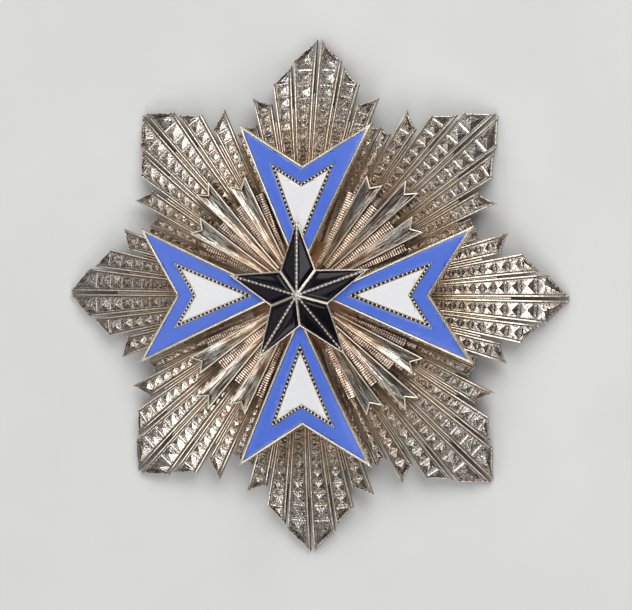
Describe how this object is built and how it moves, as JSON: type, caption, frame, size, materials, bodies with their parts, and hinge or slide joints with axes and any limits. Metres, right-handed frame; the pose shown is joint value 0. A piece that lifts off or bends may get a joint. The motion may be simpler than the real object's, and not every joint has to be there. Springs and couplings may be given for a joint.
{
  "type": "breast star",
  "caption": "Domed silver breast star: eight groups of cut rays, a blue and white enamelled cross with notched arms, a black enamelled five-pointed star, and a pin behind.",
  "frame": {"origin": "middle of the star in plan, in the plane that the ray tips rest on", "axes": "+Z out of the front, towards the viewer; +Y towards the upper arm of the cross; +X to the viewer's right"},
  "size_m": [0.09, 0.09, 0.0158],
  "materials": {
    "ray_silver": "satin",
    "polished_silver": "polished",
    "cross_gilt": "satin",
    "blue_enamel": "gloss",
    "white_enamel": "gloss",
    "star_gilt": "satin",
    "black_enamel": "gloss",
    "pin_silver": "satin"
  },
  "bodies": {
    "root": {"ray_star": "ray_silver", "inner_glory": "polished_silver", "cross_frame": "cross_gilt", "blue_enamel_1": "blue_enamel", "blue_enamel_2": "blue_enamel", "blue_enamel_3": "blue_enamel", "blue_enamel_4": "blue_enamel", "white_enamel_1": "white_enamel", "white_enamel_2": "white_enamel", "white_enamel_3": "white_enamel", "white_enamel_4": "white_enamel", "star_frame": "star_gilt", "black_enamel_1": "black_enamel", "black_enamel_2": "black_enamel", "black_enamel_3": "black_enamel", "black_enamel_4": "black_enamel", "black_enamel_5": "black_enamel", "black_enamel_6": "black_enamel", "black_enamel_7": "black_enamel", "black_enamel_8": "black_enamel", "black_enamel_9": "black_enamel", "black_enamel_10": "black_enamel", "back_pin": "pin_silver"}
  },
  "joints": []
}
